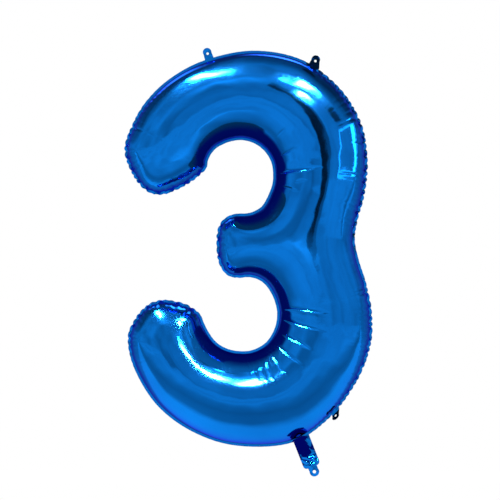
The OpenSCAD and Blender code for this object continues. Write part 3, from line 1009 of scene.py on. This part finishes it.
def bay_shade_tube(name, x, z, radius):
    """A dark blue tube in a bay, which only the bay's walls see: painted shade, in a blue that paints
    the walls' reflection of each other. It fades out at its two ends.
    """
    material, g, lit = emission_material(name)
    deep = g.maths("ABSOLUTE", g.along(g.place(), "Y"))
    # painted reflection: the blue stands in for the foil that the bay's walls reflect
    g.feed(lit, "Color", (0, 0.12, 1, 1))
    g.feed(lit, "Strength", 0.13)
    clear = g.add("ShaderNodeBsdfTransparent")
    fade = g.add("ShaderNodeMapRange", interpolation_type="SMOOTHSTEP")
    g.feed(fade, "Value", deep)
    g.feed(fade, "From Min", TUBE_END - TUBE_FADE)
    g.feed(fade, "From Max", TUBE_END)
    mix = g.add("ShaderNodeMixShader")
    g.feed(mix, 0, fade.outputs["Result"])
    g.feed(mix, 1, lit.outputs["Emission"])
    g.feed(mix, 2, clear.outputs["BSDF"])
    g.feed(g.nodes["Material Output"], "Surface", mix.outputs["Shader"])
    n = 48           # sides
    points = [(x + a, y, z + b) for y in (-TUBE_END, TUBE_END) for a, b in turned(radius, n)]
    faces = [(k, (k + 1) % n, n + (k + 1) % n, n + k) for k in range(n)]
    obj = stage_mesh(name, points, faces, material)
    obj.visible_camera = False
    return obj


def ribbon(name, spine, y, shift, half, level, tint=(1, 1, 1, 1)):
    """A curved flag upright in front of the balloon, along a spine of [x, z] places.

    It is half wide on each side, narrower at its ends, and stands to one side of the spine by shift.
    """
    n = 41           # places along it
    spine = np.array(spine)
    before, after = 2 * spine[0] - spine[1], 2 * spine[-1] - spine[-2]
    path = curve(before, spine, after, np.linspace(0, len(spine) - 1, n))
    way = np.gradient(path, axis=0)
    across = np.stack([way[:, 1], -way[:, 0]], -1) / np.linalg.norm(way, axis=1)[:, None]
    taper = half * np.sin(np.pi * np.linspace(0.04, 0.96, n)) ** 0.4
    middle = path - shift * across
    rims = [middle + side * taper[:, None] * across for side in (-1, 1)]
    points = [(x, y, z) for rim in rims for x, z in rim]
    faces = [(k, k + 1, k + 1 + n, k + n) for k in range(n - 1)]
    material, g, lit = emission_material(name)
    g.feed(lit, "Color", tint)
    g.feed(lit, "Strength", level)
    obj = stage_mesh(name, points, faces, material)
    obj.visible_camera = False
    return obj


def lamp(name, azimuth, elevation, wide, high, spread, power, about, distance=0.5):
    """A small softbox, sized in metres, that only lights a narrow cone round about."""
    light = bpy.data.lights.new(name, "AREA")
    light.shape = "ELLIPSE"
    light.size, light.size_y = wide, high
    light.spread = math.radians(spread)
    light.energy = power
    obj = bpy.data.objects.new(name, light)
    bpy.context.scene.collection.objects.link(obj)
    place(obj, azimuth, elevation, distance, about, "-Z")
    return obj


# A window on the right, and a brighter bar down it from its upper to its lower edge
WINDOW = [(0.59, -0.37, 0.46), (0.68, 0.14, 0.51), (0.74, -0.12, 0.18), (0.53, -0.46, 0.20)]
window("window", WINDOW, 0.10, 3.5)
streak = [lerp(np.array(WINDOW[0]), WINDOW[1], share) for share in (0.62, 0.88)]
streak += [lerp(np.array(WINDOW[3]), WINDOW[2], share) for share in (0.92, 0.84)]
window("window_streak", streak, 0.98, 7.0)

# Two strip lights with dimmer light round them, and softer ones in front and behind
LEFT, RIGHT = (-58, 66), (42, 50)   # azimuth and elevation of the strip lights
glow("light_left", *LEFT, 19, 6.5, 1200.0)
glow("light_left_skirt", *LEFT, 34, 16, 0.9)
glow("light_right", *RIGHT, 15, 5.5, 1200.0)
glow("light_right_skirt", *RIGHT, 32, 14, 0.9)
glow("light_front", -15, 44, 22, 12, 0.9)
glow("light_low", 24, 31, 30, 13, 0.5, distance=0.55, about=(-0.12, 0, -0.26))
glow("light_back", 165, 48, 18, 12, 8.0)
glow("light_back_right", -150, 40, 12, 18, 4.0)

# Small softboxes for single spots on the lower stroke, the crown and the lower end
lamp("lamp_low_left", 18, 31, 0.05, 0.04, 20, 0.20, (-0.106, -0.09, -0.258))
lamp("lamp_low_middle", -9, 35, 0.05, 0.035, 18, 0.12, (0.010, -0.08, -0.284))
lamp("lamp_crown_right", 22, 29, 0.05, 0.022, 20, 0.09, (0.132, -0.065, 0.395))
lamp("lamp_end_left", -27, 61, 0.05, 0.05, 18, 0.12, (-0.211, -0.06, -0.133))
lamp("lamp_end_right", 32, 41, 0.05, 0.05, 18, 0.12, (-0.168, -0.06, -0.150))

# Painted shade: cards seen only in reflections make what the bays, the tail, two of the tabs and the
# right of the crown reflect dark
bay_shade_tube("bay_shade_upper", -0.020, 0.205, 0.045)
bay_shade_tube("bay_shade_lower", -0.022, -0.160, 0.045)
TAIL_SPINE = [[0.118, -0.424], [0.130, -0.450], [0.146, -0.484]]
# painted shade on the tail, in a blue that paints the foil's reflection of itself
ribbon("dark_tail", TAIL_SPINE, -0.030, 0.0, 0.026, 0.16, tint=(0, 0.05, 1, 1))
flag("dark_upper_tab", 0, 0, 0.022, 0.03, 0.04, (0.161, 0, 0.480))
flag("dark_lower_tab", 105, -41, 0.018, 0.02, 0.03, (0.2113, 0.008, -0.369))
shadow("dark_patch", 60, 32, 16, 8, 0.9)

# These hide the strip lights from the arm and from the inner wall of the lower stroke
flag("flag_arm_top", *LEFT, 0.050, 0.12, 0.08, (0.008, -0.05, 0.093))
flag("flag_low_left", *RIGHT, 0.032, 0.4, 0.10, (-0.096, -0.055, -0.238))
flag("flag_low_middle", *LEFT, 0.036, 0.4, 0.08, (0.018, -0.05, -0.254))

# A dark curve that reflects down the spine, and a paler one beside it
DARK_SPINE = [
    [0.07, 0.73], [0.20, 0.64], [0.27, 0.52], [0.285, 0.39], [0.265, 0.26], [0.23, 0.13], [0.17, 0.02],
]
DARK_Y = -0.59
ribbon("dark_curve", DARK_SPINE, DARK_Y, 0.0, 0.052, 0.03)
ribbon("dark_curve_side", DARK_SPINE, DARK_Y - 0.01, 0.06, 0.055, 0.25)

# The room is white to the eye. In the foil it is darker high up behind, with soft patches.
world = bpy.data.worlds.new("studio")
bpy.context.scene.world = world
world.use_nodes = True
g = Graph(world.node_tree)
g.nodes.clear()
out = g.add("ShaderNodeOutputWorld")
way = g.add("ShaderNodeTexCoord").outputs["Generated"]
deep = g.maths("ADD", g.maths("MULTIPLY", g.along(way, "Y"), 0.5), 0.5)
high = g.maths("ADD", g.maths("MULTIPLY", g.along(way, "Z"), 0.5), 0.5)
front_level = g.ramp(high, [(0.0, 0.62), (0.6, 0.62), (1.0, 0.5)])
back_level = g.ramp(high, [(0.0, 0.58), (0.6, 0.55), (0.75, 0.16), (0.9, 0.12), (1.0, 0.3)])
behind = g.ramp(deep, [(0.0, 0.0), (0.45, 0.0), (0.6, 1.0), (1.0, 1.0)])
level = g.maths("ADD", g.maths("MULTIPLY", back_level, behind),
                g.maths("MULTIPLY", front_level, g.maths("SUBTRACT", 1.0, behind)))
level = g.maths("MULTIPLY", level, g.ramp(g.noise(way, 2.2, 2.0), [(0.3, 0.62), (0.7, 1.3)]))
eye = g.add("ShaderNodeLightPath").outputs["Is Camera Ray"]
room = g.add("ShaderNodeBackground")
g.feed(room, "Color", (1, 1, 1, 1))
g.feed(room, "Strength", g.maths("MAXIMUM", level, eye))
g.feed(out, "Surface", room.outputs["Background"])

bpy.context.scene.view_settings.view_transform = "Standard"
